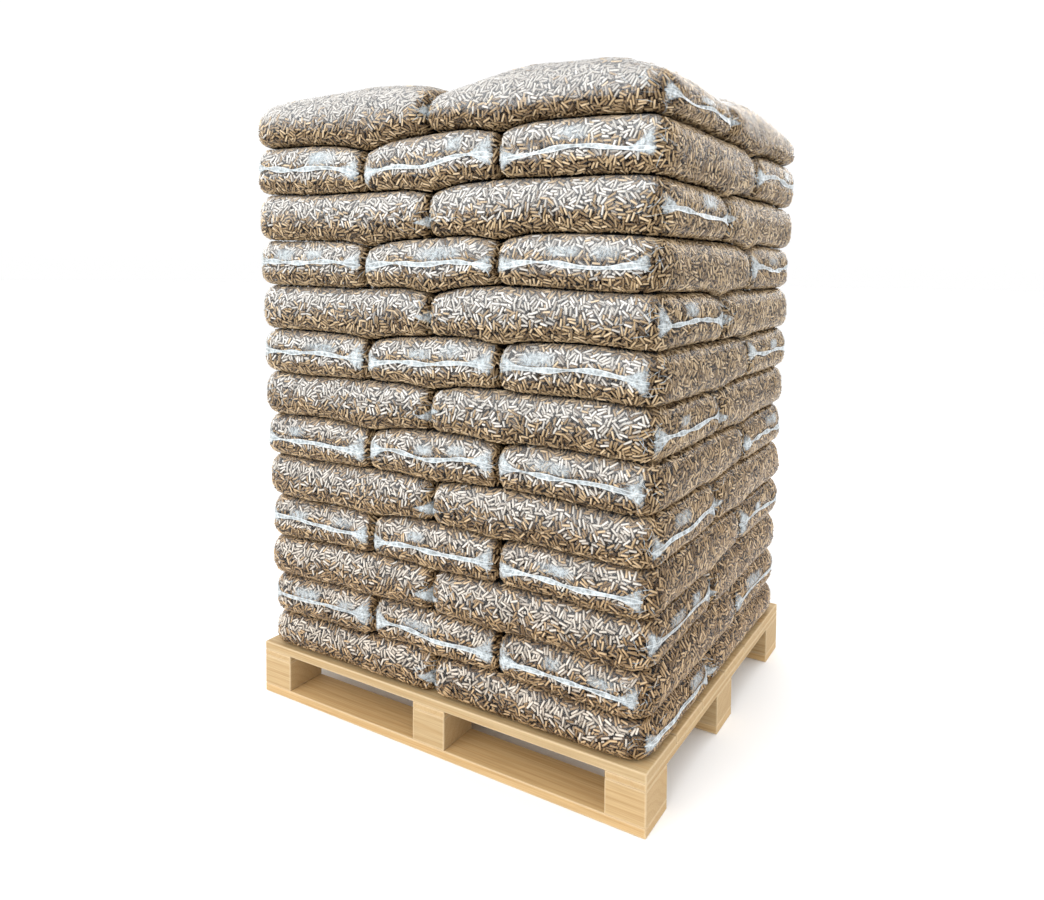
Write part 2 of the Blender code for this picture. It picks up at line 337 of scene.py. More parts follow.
class Sack:
    """One sack of a layer: its place in the plan and which of its sides show."""

    def __init__(self, layer, number, centre, half):
        self.layer, self.number = layer, number
        self.centre, self.half = np.array(centre), np.array(half)
        self.along = 0 if half[0] > half[1] else 1
        self.top = layer == LAYER_COUNT
        self.seed = 100 * layer + number
        self.reach = (part_way(SPREAD_LOW, SPREAD_HIGH, layer)
                      * np.array([PALLET_LENGTH, PALLET_WIDTH]) / 2)
        self.shown = {
            (axis, sign): sign * self.centre[axis] + self.half[axis] > self.reach[axis] - RIM / 2
            for axis in (0, 1) for sign in (-1, 1)
        }
        self.line, _ = self.outline(FINE_MESH)
        self.line = np.concatenate([self.line, self.line[:1]])
        belly = self.surface(self.line, np.zeros(len(self.line)))
        steps = np.linalg.norm(np.diff(belly[:, :2], axis=0), axis=1)
        self.run = np.concatenate([[0], np.cumsum(steps)])

    def rim(self, axis, sign):
        """How far a side rounds inward toward the floor and the ceiling."""
        if self.shown[(axis, sign)]:
            return TOP_RIM if self.top else RIM
        return TOP_SEAM_RIM if self.top else SEAM_RIM

    def floor(self, x, y):
        """The surface that the sack lies on."""
        return interface_height(self.layer - 1, x, y) + FILM_GAP

    def ceiling(self, x, y):
        """The sack's upper side: pressed by the next layer, or crowned on the top layer."""
        if not self.top:
            return interface_height(self.layer, x, y) - FILM_GAP
        rise, crown, power = 0.0, TOP_LAYER_CROWN, TOP_CROWN_POWER
        if self.number == 0:
            rise, crown, power = LEFT_EDGE_RISE, LEFT_CROWN, LEFT_CROWN_POWER
        across = 1 - np.minimum(1, np.abs(x - self.centre[0]) / self.half[0]) ** power
        along = 1 - np.minimum(1, np.abs(y - self.centre[1]) / self.half[1]) ** TOP_CROWN_POWER
        edge = interface_level(self.layer - 1) + TOP_LAYER_EDGE_HEIGHT + rise
        wave = ripple(np.stack([x, y], 1), CROWN_WAVE, self.seed)
        return edge + crown * across * along + 2 * RIPPLE * wave * across * along

    def outline(self, resolution):
        """Go round the plan anticlockwise, from corner to corner.

        Each row holds a start, the way out, the radius and the rim, each as x and y. With each
        row comes its cell corner on the cap: the side's index and the step along it.
        """
        cells_long, cells_wide, corner_steps, _ = resolution
        cells = (cells_long, cells_wide) if self.along == 0 else (cells_wide, cells_long)
        corners = [(-1, -1), (1, -1), (1, 1), (-1, 1)]
        knots = []
        for corner in corners:
            rims = np.array([self.rim(axis, corner[axis]) for axis in (0, 1)])
            outer = all(self.shown[(axis, corner[axis])] for axis in (0, 1))
            radii = rims + (OUTER_CORNER if outer else SEAM_CORNER)
            start = self.centre + np.array(corner) * (self.half - radii)
            knots.append((start, radii, rims, 2 / (2 if outer else SEAM_CORNER_POWER)))
        rows, cap = [], []
        for index in range(4):
            here, after = knots[index], knots[(index + 1) % 4]
            angle = math.pi / 2 * (index - 1)
            out = np.round([math.cos(angle), math.sin(angle)])
            for step in range(cells[index % 2] + 1):
                share = step / cells[index % 2]
                start, radii, rims = (a + (b - a) * share for a, b in zip(here[:3], after[:3]))
                rows.append(np.concatenate([start, out, radii, rims]))
                cap.append((index, step))
            for step in range(1, corner_steps):
                turned = angle + math.pi / 2 * step / corner_steps
                way = np.array([math.cos(turned), math.sin(turned)])
                way = np.sign(way) * np.abs(way) ** after[3]
                rows.append(np.concatenate([after[0], way, after[1], after[2]]))
                cap.append((index, cells[index % 2]))
        return np.array(rows), cap

    def line_at(self, run):
        """Rows of the outline at distances along it."""
        run = run % self.run[-1]
        return np.stack([np.interp(run, self.run, column) for column in self.line.T], 1)

    def surface(self, line, share):
        """Points of the wall. share goes from -1 at the floor to 1 at the ceiling."""
        start, out, radii, rims = (line[:, i:i + 2] for i in (0, 2, 4, 6))
        shows = np.stack([
            np.where(out[:, axis] > 0, self.shown[(axis, 1)], self.shown[(axis, -1)])
            for axis in (0, 1)
        ], 1)
        weight = out ** 2
        outer = (weight * shows).sum(1) / weight.sum(1)
        free = np.where(share > 0, UPPER_ROUNDNESS, LOWER_ROUNDNESS)
        power = free if self.top else SEAM_ROUNDNESS + (free - SEAM_ROUNDNESS) * outer
        profile = np.maximum(1 - np.abs(share) ** power, 0) ** (1 / power)
        wave = ripple(np.c_[start + out * radii, share * WALL_WAVE_HEIGHT], WALL_WAVE, self.seed)
        swell = outer * (BULGE + WALL_RIPPLE * wave) * profile
        ends = np.abs(out[:, self.along]) ** 4 * outer
        dent = SEAL_DENT * ends * np.exp(-((share / SEAL_DENT_HEIGHT) ** 2))
        place = start + out * (radii - rims * (1 - profile)[:, None] + (swell - dent)[:, None])
        floor, ceiling = self.floor(*place.T), self.ceiling(*place.T)
        belly = floor + BELLY * (ceiling - floor)
        height = belly + share * np.where(share > 0, ceiling - belly, belly - floor)
        return np.c_[place, height]

    def mesh(self, resolution):
        """Vertices and quads. A triangle repeats its last corner."""
        line, cap = self.outline(resolution)
        count, wall_steps = len(line), resolution[3]
        cells = resolution[:2] if self.along == 0 else resolution[1::-1]
        angles = (np.arange(wall_steps + 1) / wall_steps - 0.5) * math.pi
        rows = []
        for angle in angles:
            share = math.copysign(abs(math.sin(angle)) ** (2 / UPPER_ROUNDNESS), angle)
            rows.append(self.surface(line, np.full(count, share)))
        knot = [line[cap.index((index, 0)), :2] for index in range(4)]
        share_x, share_y = (a.ravel()[:, None] for a in np.meshgrid(
            np.linspace(0, 1, cells[0] + 1), np.linspace(0, 1, cells[1] + 1)))
        plan = ((1 - share_y) * ((1 - share_x) * knot[0] + share_x * knot[1])
                + share_y * ((1 - share_x) * knot[3] + share_x * knot[2]))
        caps = [np.c_[plan, side(*plan.T)] for side in (self.floor, self.ceiling)]
        vertices = np.concatenate(rows + caps)
        wall = count * len(rows)
        width = cells[0] + 1

        def cap_index(index, step):
            column = (step, cells[0], cells[0] - step, 0)[index]
            row = (0, step, cells[1], cells[1] - step)[index]
            return row * width + column

        edge = np.array([cap_index(*c) for c in cap])
        here = np.arange(count)
        after = (here + 1) % count
        quads = []
        for row in range(len(rows) - 1):
            low, high = row * count, (row + 1) * count
            quads.append(np.c_[low + here, low + after, high + after, high + here])
        bottom, top = wall, wall + width * (cells[1] + 1)
        last = (len(rows) - 1) * count
        quads.append(np.c_[here, bottom + edge[here], bottom + edge[after], after])
        quads.append(np.c_[last + here, last + after, top + edge[after], top + edge[here]])
        face = sheet_faces(width, cells[1] + 1)
        quads += [bottom + face[:, ::-1], top + face]
        return vertices, np.concatenate(quads)


def layer_sacks(layer):
    """The five sacks of a layer."""
    spread = part_way(SPREAD_LOW, SPREAD_HIGH, layer)
    drift = DRIFT if layer < LAYER_COUNT else 0.0
    shift = (drift * math.sin(DRIFT_STEP_X * layer), drift * math.cos(DRIFT_STEP_Y * layer))
    side = -1 if is_odd(layer) else 1
    lengthwise_y = side * (PALLET_WIDTH - SACK_WIDTH) / 2
    crosswise_y = -side * (PALLET_WIDTH - SACK_LENGTH) / 2
    places = [((x, lengthwise_y), (SACK_LENGTH / 2, SACK_WIDTH / 2))
              for x in (-SACK_LENGTH / 2, SACK_LENGTH / 2)]
    places += [((x, crosswise_y), (SACK_WIDTH / 2, SACK_LENGTH / 2))
               for x in (-SACK_WIDTH, 0.0, SACK_WIDTH)]
    return [
        Sack(layer, number, [spread * c + s for c, s in zip(centre, shift)],
             [spread * h for h in half])
        for number, (centre, half) in enumerate(places)
    ]


def unit(vectors):
    """Vectors of length 1."""
    return vectors / np.maximum(np.linalg.norm(vectors, axis=1), 1e-12)[:, None]


def normals_of(vertices, quads):
    """A normal at each vertex, from the faces round it."""
    a, b, c, d = (vertices[quads[:, i]] for i in range(4))
    face = np.cross(c - a, d - b)
    total = np.zeros_like(vertices)
    for i in range(4):
        np.add.at(total, quads[:, i], face)
    return unit(total)


# Mesh objects


def mesh_piece(name, vertices, quads, material, flat=None):
    """A mesh object from arrays. A quad that repeats a corner becomes a triangle."""
    after = np.roll(quads, -1, axis=1)
    kept = quads != after
    loops = quads[kept]
    sizes = kept.sum(1)
    mesh = bpy.data.meshes.new(name)
    mesh.vertices.add(len(vertices))
    mesh.vertices.foreach_set("co", vertices.astype(np.float32).ravel())
    mesh.loops.add(len(loops))
    mesh.loops.foreach_set("vertex_index", loops.astype(np.int32))
    mesh.polygons.add(len(quads))
    starts = np.cumsum(sizes) - sizes
    mesh.polygons.foreach_set("loop_start", starts.astype(np.int32))
    smooth = np.ones(len(quads), bool) if flat is None else ~flat
    mesh.polygons.foreach_set("use_smooth", smooth)
    mesh.update(calc_edges=True)
    mesh.materials.append(material)
    piece = bpy.data.objects.new(name, mesh)
    SCENE.collection.objects.link(piece)
    return piece


def sheet_faces(columns, rows):
    """Faces of a grid of points stored row by row."""
    x, y = (a.ravel() for a in np.meshgrid(np.arange(columns - 1), np.arange(rows - 1)))
    corner = y * columns + x
    return np.c_[corner, corner + 1, corner + columns + 1, corner + columns]


def stacked(parts):
    """Join several (vertices, quads) into one."""
    vertices, quads, start = [], [], 0
    for points, faces in parts:
        vertices.append(points)
        quads.append(faces + start)
        start += len(points)
    return np.concatenate(vertices), np.concatenate(quads)


# Pellets


def pack_sheet(passes, rng):
    """Lay pellets side by side on the patch: rows of x, y, angle and length.

    Each pass tries shorter pellets in what is left free. The patch repeats in both directions.
    """
    columns, rows = (round(size / PATCH_CELL) for size in PATCH_SIZE)
    taken = np.zeros((rows, columns), bool)
    width = 2 * PELLET_RADIUS
    fill_across = np.arange(-width / 2, width / 2 + 1e-9, PATCH_CELL * 0.8)
    test_across = np.linspace(-0.5, 0.5, TEST_POINTS[1]) * width * SQUEEZE
    laid = []
    for longest, shortest, tries in passes:
        spots = rng.random((tries, 2)) * PATCH_SIZE
        angles = SWIRL * math.pi * ripple(spots, SWIRL_WAVE, 5)
        angles += rng.normal(0, SWIRL_SCATTER, tries)
        lengths = rng.uniform(shortest, longest, tries)
        for spot, angle, length in zip(spots, angles, lengths):
            along = np.array([math.cos(angle), math.sin(angle)])
            across = np.array([-along[1], along[0]])

            def cells(lengthwise, crosswise):
                at = spot + (lengthwise[:, None, None] * along + crosswise[None, :, None] * across)
                index = np.floor(at / PATCH_CELL).astype(int)
                return index[..., 1] % rows, index[..., 0] % columns

            test_along = np.linspace(-0.5, 0.5, TEST_POINTS[0]) * length * 0.95
            if taken[cells(test_along, test_across)].any():
                continue
            fill_along = np.arange(-length / 2, length / 2 + 1e-9, PATCH_CELL * 0.8)
            taken[cells(fill_along, fill_across)] = True
            laid.append((*spot, angle, length))
    return np.array(laid)


def pack_patch():
    """Both sheets of pellets: rows of x, y, angle, length, depth and tone."""
    rng = np.random.default_rng(PATCH_SEED)
    sheets = []
    for sheet, passes in enumerate((OUTER_PASSES, DEEPER_PASSES)):
        laid = pack_sheet(passes, rng)
        count = len(laid)
        small = laid[:, 3] < OUTER_PASSES[2][0]
        depth = rng.uniform(0, DEPTH_SCATTER, count)
        depth += sheet * DEEPER_BY + small * SMALL_DEEPER_BY
        tone = rng.normal(TONE_MEAN, TONE_SCATTER, count)
        # The deeper sheet and the small pellets get painted shade
        tone -= sheet * DEEPER_PAINTED_SHADE + small * SMALL_PAINTED_SHADE
        sheets.append(np.c_[laid, depth, tone])
    return np.concatenate(sheets)


def cover(patch, width, height, rng):
    """Repeat the patch over a rectangle, from a random corner and randomly mirrored."""
    x, y, angle, length, depth, tone = patch.T
    across, along = rng.random(2) * PATCH_SIZE
    mirror_x, mirror_y = rng.choice([-1, 1], 2)
    x = (x * mirror_x + across) % PATCH_SIZE[0]
    y = (y * mirror_y + along) % PATCH_SIZE[1]
    angle = angle * mirror_x * mirror_y
    parts = []
    for column in range(math.ceil(width / PATCH_SIZE[0])):
        for row in range(math.ceil(height / PATCH_SIZE[1])):
            parts.append(np.c_[x + column * PATCH_SIZE[0], y + row * PATCH_SIZE[1],
                               angle, length, depth, tone])
    laid = np.concatenate(parts)
    return laid[(laid[:, 0] < width) & (laid[:, 1] < height)]


def place_on_wall(sack, patch, rng):
    """Pellets on the parts of a wall that show.

    Returns their rows, their points, both tangents, and which lie in the shade of the next layer.
    """
    shares = np.sin(np.linspace(-0.5, 0.5, FINE_MESH[3] + 1) * math.pi)
    size = (len(sack.line), len(shares))
    grid = sack.surface(np.repeat(sack.line, size[1], 0), np.tile(shares, size[0]))
    grid = grid.reshape(*size, 3)
    climb = np.linalg.norm(np.diff(grid, axis=1), axis=2)
    climb = np.concatenate([np.zeros((size[0], 1)), np.cumsum(climb, 1)], 1)
    steps = np.diff(sack.run)
    room = np.linalg.norm(np.diff(grid, axis=0), axis=2) / steps[:, None]
    laid = cover(patch, sack.run[-1], climb.max(), rng)
    column = np.clip(np.searchsorted(sack.run, laid[:, 0]) - 1, 0, size[0] - 2)
    share = ((laid[:, 0] - sack.run[column]) / steps[column])[:, None]
    climbs = climb[column] * (1 - share) + climb[column + 1] * share
    level = np.clip((climbs < laid[:, 1:2]).sum(1) - 1, 0, size[1] - 2)
    each = np.arange(len(laid))
    low, high = climbs[each, level], climbs[each, level + 1]
    share = (laid[:, 1] - low) / (high - low)
    share = shares[level] + (shares[level + 1] - shares[level]) * share
    line = sack.line_at(laid[:, 0])
    point = sack.surface(line, np.clip(share, -1, 1))
    shows = (sack.reach - np.abs(point[:, :2]) < EXPOSED_DEPTH).any(1)
    if sack.top:
        shows |= share > WALL_START_TOP
    shows &= (share < 1) & (rng.random(len(laid)) < room[column, level] * CROWDING)
    laid, share, point = laid[shows], share[shows], point[shows]
    shaded = np.zeros(len(share), bool)
    if not sack.top:
        shaded = share > PAINTED_SHEEN_END + rng.normal(0, PAINTED_SHEEN_END_SCATTER, len(share))
    step = np.where(share > 0, -0.03, 0.03)
    beside = sack.surface(sack.line_at(laid[:, 0] + 0.002), share) - point
    above = (sack.surface(sack.line_at(laid[:, 0]), share + step) - point) / step[:, None]
    return laid, point, beside, above, shaded


def place_on_crown(sack, patch, rng):
    """Pellets on the upper side of a sack, inside its wall."""
    rim = np.array([[sack.rim(axis, sign) for axis in (0, 1)] for sign in (-1, 1)])
    low, high = sack.centre - sack.half + rim[0], sack.centre + sack.half - rim[1]
    laid = cover(patch, *(high - low), rng)
    x, y = (laid[:, :2] + low).T
    height = sack.ceiling(x, y)
    point = np.c_[x, y, height]
    beside = np.c_[x + 0.002, y, sack.ceiling(x + 0.002, y)] - point
    above = np.c_[x, y + 0.002, sack.ceiling(x, y + 0.002)] - point
    return laid, point, beside, above, np.zeros(len(laid), bool)


def pellet_mesh(laid, point, beside, above, shaded, painted_sheen_start, top, rng):
    """Ridged pellets just under the film, and their tones, over 0.5 where a white painted sheen is
    put on.
    """
    count = len(point)
    beside = unit(beside)
    normal = unit(np.cross(beside, above))
    above = np.cross(normal, beside)
    angle, length, depth, tone = laid.T[2:, :, None]
    axis = beside * np.cos(angle) + above * np.sin(angle)
    tilt = rng.normal(0, PELLET_TILT, count)[:, None]
    axis = axis * np.cos(tilt) + normal * np.sin(tilt)
    side = unit(np.cross(axis, normal))
    up = np.cross(side, axis)
    radius = (PELLET_RADIUS * rng.uniform(*PELLET_SIZES, count))[:, None]
    centre = point - normal * (depth + radius * PELLET_RIDGE + np.abs(np.sin(tilt)) * length / 2)
    ends = [centre + sign * axis * length / 2 for sign in (-1, 1)]
    vertices = np.stack([
        part
        for end in ends
        for part in (end - side * radius, end + up * radius * PELLET_RIDGE, end + side * radius)
    ], 1).reshape(-1, 3)
    prism = np.array([[0, 3, 4, 1], [1, 4, 5, 2], [0, 1, 2, 2], [3, 5, 4, 4]])
    faces = (np.arange(count)[:, None, None] * 6 + prism).reshape(-1, 4)
    # Pellets that face up or to the front get the white painted sheen, except those in the shade of
    # the next layer
    facing = PAINTED_SHEEN_UP * normal[:, 2] - PAINTED_SHEEN_FRONT * normal[:, 1]
    tone = tone[:, 0]
    painted_sheen = (facing + rng.normal(0, PAINTED_SHEEN_SCATTER, count) > painted_sheen_start) & ~shaded
    if top:
        painted_sheen |= normal[:, 2] + rng.normal(0, CROWN_SCATTER, count) > CROWN_UP
        # On the crown the painted sheen greys as it turns up; the other top-layer pellets get
        # painted shade
        crown_sheen_tone = CROWN_SHEEN_TONE - CROWN_SHEEN_GREYING * normal[:, 2] ** 4
        tone = tone * np.where(painted_sheen, crown_sheen_tone, TOP_SIDE_PAINTED_SHADE)
    return vertices, faces, (np.clip(tone, *TONE_LIMITS) + painted_sheen) / 2


# Materials


class Shader:
    """A material's node tree, built a node at a time."""

    def __init__(self, name):
        self.material = bpy.data.materials.new(name)
        self.material.use_nodes = True
        self.tree = self.material.node_tree
        self.tree.nodes.clear()
        self.output = self.tree.nodes.new("ShaderNodeOutputMaterial")

    def feed(self, socket, value):
        """Link another node's output to a socket, or set the socket's value."""
        if isinstance(value, bpy.types.NodeSocket):
            self.tree.links.new(value, socket)
        else:
            socket.default_value = value

    def add(self, kind, inputs=None, **settings):
        """Add a node. An input is a number, a colour or another node's output."""
        node = self.tree.nodes.new("ShaderNode" + kind)
        for name, value in settings.items():
            setattr(node, name, value)
        for name, value in (inputs or {}).items():
            self.feed(node.inputs[name], value)
        return node

    def place(self):
        """Object coordinates, which are metres in the model's frame."""
        return self.add("TexCoord").outputs["Object"]

    def axis(self, vector, name):
        """One coordinate of a vector."""
        return self.add("SeparateXYZ", {0: vector}).outputs[name]

    def noise(self, place, scale, detail, distortion=0.0):
        """Noise round 0.5."""
        node = self.add("TexNoise", {"Vector": place, "Scale": scale, "Detail": detail,
                                     "Distortion": distortion})
        return node.outputs["Fac"]

    def bump(self, strength, distance, height):
        """A normal that is bent by a height."""
        return self.add("Bump", {"Strength": strength, "Distance": distance,
                                 "Height": height}).outputs["Normal"]

    def span(self, value, low, high, first=0.0, last=1.0):
        """Map a value from low and high to first and last, and no further."""
        return self.add("MapRange", {0: value, 1: low, 2: high, 3: first, 4: last}).outputs[0]

    def vector(self, operation, first, second=(0, 0, 0)):
        """A vector maths node."""
        return self.add("VectorMath", {0: first, 1: second}, operation=operation).outputs[0]

    def ramp(self, factor, stops):
        """A colour ramp with stops of (place, (r, g, b))."""
        node = self.add("ValToRGB", {"Fac": factor})
        elements = node.color_ramp.elements
        while len(elements) < len(stops):
            elements.new(0.5)
        for element, (place, colour) in zip(elements, stops):
            element.position = place
            element.color = (*colour, 1)
        return node.outputs["Color"]

    def math(self, operation, *values):
        """A maths node on one to three values."""
        return self.add("Math", dict(enumerate(values)), operation=operation).outputs[0]

    def mix(self, factor, first, second, blend="MIX"):
        """Mix two colours."""
        node = self.add("Mix", data_type="RGBA", blend_type=blend)
        self.feed(node.inputs[0], factor)
        for index, colour in ((6, first), (7, second)):
            linked = isinstance(colour, bpy.types.NodeSocket)
            self.feed(node.inputs[index], colour if linked else (*colour, 1))
        return node.outputs[2]

    def finish(self, shader):
        """Send a shader to the surface, and return the material."""
        self.tree.links.new(shader.outputs[0], self.output.inputs["Surface"])
        return self.material

    def coat(self, colour, roughness, specular, **more):
        """Finish with a principled shader."""
        return self.finish(self.add("BsdfPrincipled", {
            "Base Color": colour, "Roughness": roughness, "Specular IOR Level": specular, **more,
        }))


def pellet_material():
    """Pressed sawdust: each pellet has its tone, with painted shade toward its edges and a painted
    highlight along its ridge. Tones over 0.5 carry a white painted sheen.
    """
    s = Shader("wood_pellets")
    place = s.add("UVMap", uv_map="OFBake").outputs["UV"]
    split = s.add("SeparateXYZ", {0: place})
    # Tones below 0.5 are the pellets' own; those above are the same with the white painted sheen
    tone = s.ramp(split.outputs["X"], [
        (0.0, (0.060, 0.034, 0.014)), (0.15, (0.190, 0.119, 0.056)),
        (0.28, (0.360, 0.250, 0.130)), (0.40, (0.54, 0.395, 0.225)), (0.493, (0.78, 0.61, 0.39)),
        (0.507, (0.22, 0.185, 0.15)), (0.65, (0.43, 0.395, 0.35)), (0.80, (0.66, 0.63, 0.58)),
        (1.0, (0.88, 0.86, 0.82)),
    ])
    low = s.span(s.axis(s.place(), "Z"), DECK_TOP, WARM_BELOW, 1.0, 0.0)
    tone = s.mix(1.0, tone, s.mix(low, (1.0, 1.0, 1.0), LOW_TINT), "MULTIPLY")
    # Painted shade toward each pellet's edges and a painted highlight along its ridge
    shade = s.ramp(split.outputs["Y"], [(0.0, (0.020, 0.013, 0.008)), (0.20, (0.20, 0.16, 0.13)),
                                        (0.45, (0.78, 0.76, 0.74)), (0.85, (1, 1, 1))])
    colour = s.mix(1.0, tone, shade, "MULTIPLY")
    return s.coat(colour, 0.5, 0.2)


def core_shade_material():
    """The pellets further in, painted near black as shade between the outer ones."""
    s = Shader("pellets_further_in_painted_shade")
    cells = s.add("TexVoronoi", {"Vector": s.place(), "Scale": 120.0})
    colour = s.ramp(s.axis(cells.outputs["Color"], "X"), [
        (0.0, (0.008, 0.005, 0.003)), (0.6, (0.024, 0.014, 0.008)), (1.0, (0.06, 0.037, 0.020)),
    ])
    height = s.math("SUBTRACT", 1.0, cells.outputs["Distance"])
    return s.coat(colour, 0.8, 0.1, Normal=s.bump(0.8, 0.002, height))


def film_material():
    """Clear film: see-through and glossy, with a faint white painted sheen where it faces up or to
    the front.
    """
    s = Shader("clear_film")
    place = s.place()
    fine = s.noise(place, 95.0, 2.0)
    folds = s.noise(place, 22.0, 3.0, 0.8)
    bent = s.bump(0.5, 0.005, s.math("MULTIPLY_ADD", fine, 0.45, folds))
    gloss = s.add("BsdfGlossy", {"Color": (0.96, 0.98, 1.0, 1), "Roughness": 0.25, "Normal": bent})
    clear = s.add("BsdfTransparent", {"Color": (0.99, 0.99, 0.99, 1)})
    veil = s.add("Fresnel", {"IOR": 1.36, "Normal": bent}).outputs[0]
    film = s.add("MixShader", {0: s.math("MULTIPLY", veil, FILM_VEIL),
                               1: clear.outputs[0], 2: gloss.outputs[0]})
    normal = s.add("SeparateXYZ", {0: s.add("NewGeometry").outputs["Normal"]})
    facing = s.math("MULTIPLY_ADD", normal.outputs["Y"], -PAINTED_SHEEN_FRONT,
                    s.math("MULTIPLY", normal.outputs["Z"], PAINTED_SHEEN_UP))
    height, top = s.axis(place, "Z"), interface_level(LAYER_COUNT)
    start = s.span(height, DECK_TOP, top, PAINTED_SHEEN_START_LOW, PAINTED_SHEEN_START_HIGH)
    cover = s.span(height, DECK_TOP, top, PAINTED_SHEEN_COVER_LOW, PAINTED_SHEEN_COVER_HIGH)
    facing = s.math("SUBTRACT", s.math("MULTIPLY_ADD", fine, 0.5, facing), start)
    painted_sheen_share = s.math("MULTIPLY", s.span(facing, 0.15, 0.41), cover)
    # A whitish coat mixed in where the film faces up or to the front: painted sheen
    white = s.add("BsdfPrincipled", {"Base Color": (0.86, 0.89, 0.91, 1), "Roughness": 0.3,
                                     "Normal": bent})
    return s.finish(s.add("MixShader", {0: painted_sheen_share, 1: film.outputs[0], 2: white.outputs[0]}))


def weld_material():
    """Welded and doubled film: bluish white, cloudy and half clear, with bright weld edges.

    The weld map holds the distance from the weld's middle line (U) and how strongly slack film
    shows outside the weld (V).
    """
    s = Shader("welded_film")
    place = s.place()
    weld = s.add("SeparateXYZ", {0: s.add("UVMap", uv_map="weld").outputs["UV"]})
    away = s.math("ABSOLUTE", s.math("SUBTRACT", weld.outputs["X"], 0.5))
    away = s.math("MULTIPLY", away, WELD_SPAN)
    cloud, streaks = s.noise(place, 85.0, 3.0), s.noise(place, 260.0, 2.0)
    inside = s.span(away, SEAL_HALF - 0.0004, SEAL_HALF + 0.0004, 1.0, 0.0)
    rib = s.math("MULTIPLY", inside, s.span(away, SEAL_HALF - 0.0022, SEAL_HALF - 0.0010))
    band = s.math("MULTIPLY", inside, s.span(cloud, 0.35, 0.62, 0.42, 0.80))
    slack = s.math("MULTIPLY", weld.outputs["Y"], s.span(streaks, 0.35, 0.62, 0.55, 1.0))
    slack = s.math("MULTIPLY", slack, s.span(cloud, 0.32, 0.60, 0.50, 1.0))
    alpha = s.math("MAXIMUM", s.math("MAXIMUM", band, slack), s.math("MULTIPLY", rib, 0.80))
    colour = s.mix(rib, s.ramp(cloud, [(0.3, (0.40, 0.46, 0.49)), (0.7, (0.60, 0.66, 0.69))]),
                   (0.70, 0.75, 0.77))
    return s.coat(colour, 0.28, 0.6, Alpha=alpha, Normal=s.bump(0.5, 0.002, cloud))


def pine_material(name, low, high, grain, seed, painted_lightening=1.0):
    """Sawn pine: growth rings round a pith beside the board, fibres, and pale edges that are partly
    wear and partly painted highlight.
    """
    rng = np.random.default_rng(seed)
    centre, half = (np.array(low) + high) / 2, (np.array(high) - low) / 2
    s = Shader(name + "_pine")
    place = s.place()
    across = (0, 1, 1) if grain == 0 else (1, 0, 1)
    drawn = s.vector("MULTIPLY", place, [1.0 if a else 0.07 for a in across])
    moved = s.vector("ADD", drawn, rng.uniform(-5, 5, 3))
    warp = s.noise(moved, 8.0, 2.0)
    angle = rng.uniform(0.2, 0.8) * math.pi * rng.choice([-1, 1])
    away = PITH_DISTANCE * rng.uniform(0.7, 1.5)
    sideways, upright = away * math.cos(angle), away * math.sin(angle)
    pith = centre + ((0, sideways, upright) if grain == 0 else (sideways, 0, upright))
    flat = s.vector("MULTIPLY", s.vector("SUBTRACT", place, pith), across)
    radius = s.add("VectorMath", {0: flat}, operation="LENGTH").outputs["Value"]
    bent = s.math("MULTIPLY_ADD", warp, 0.075, radius)
    ring = s.math("FRACT", s.math("DIVIDE", bent, RING_SPACING * rng.uniform(0.8, 1.3)))
    early = np.array(PINE_EARLY) * rng.uniform(0.93, 1.05) * painted_lightening
    late = np.array(PINE_LATE) * painted_lightening
    rings = s.ramp(ring, [(0.0, early), (0.45, early * 0.97 + late * 0.03),
                          (0.86, late), (1.0, early)])
    fibre = s.noise(s.vector("MULTIPLY", place, [1.0 if a else 0.02 for a in across]), 330.0, 3.0)
    grained = s.mix(1.0, rings, s.ramp(fibre, [(0.3, (0.80, 0.76, 0.70)), (0.65, (1, 1, 1))]),
                    "MULTIPLY")
    patch = s.noise(moved, 3.0, 1.0)
    toned = s.mix(1.0, grained, s.ramp(patch, [(0.35, (0.97, 0.90, 0.80)), (0.62, (1, 1, 1))]),
                  "MULTIPLY")
    facing = s.add("SeparateXYZ", {0: s.add("NewGeometry").outputs["Normal"]}).outputs[grain]
    end = s.math("GREATER_THAN", s.math("ABSOLUTE", facing), 0.8)
    ended = s.mix(s.math("MULTIPLY", end, 0.5), toned, PINE_END)
    inward = s.vector("ABSOLUTE", s.vector("SUBTRACT", place, centre))
    inward = s.vector("SUBTRACT", half, inward)
    x, y, z = s.add("SeparateXYZ", {0: inward}).outputs
    low_pair, high_pair = s.math("MINIMUM", x, y), s.math("MAXIMUM", x, y)
    edge = s.math("MAXIMUM", low_pair, s.math("MINIMUM", high_pair, z))
    # Pale edges: partly wear, partly painted highlight of the bevels
    colour = s.mix(s.span(edge, 0.0012, 0.0050, 0.55, 0.0), ended, PINE_EDGE_WEAR_AND_HIGHLIGHT)
    height = s.math("ADD", s.math("MULTIPLY", fibre, 0.6), s.math("MULTIPLY", ring, 0.25))
    roughness = s.span(fibre, 0.3, 0.7, 0.72, 0.52)
    return s.coat(colour, roughness, 0.35, Normal=s.bump(0.35, 0.0012, height))


def floor_material():
    """A pale matt studio floor with a faint cloudiness."""
    s = Shader("studio_floor")
    cloud = s.noise(s.place(), 1.5, 2.0)
    colour = s.ramp(cloud, [(0.3, (0.85, 0.85, 0.85)), (0.7, (0.88, 0.88, 0.88))])
    return s.coat(colour, 0.9, 0.1)


# Seals


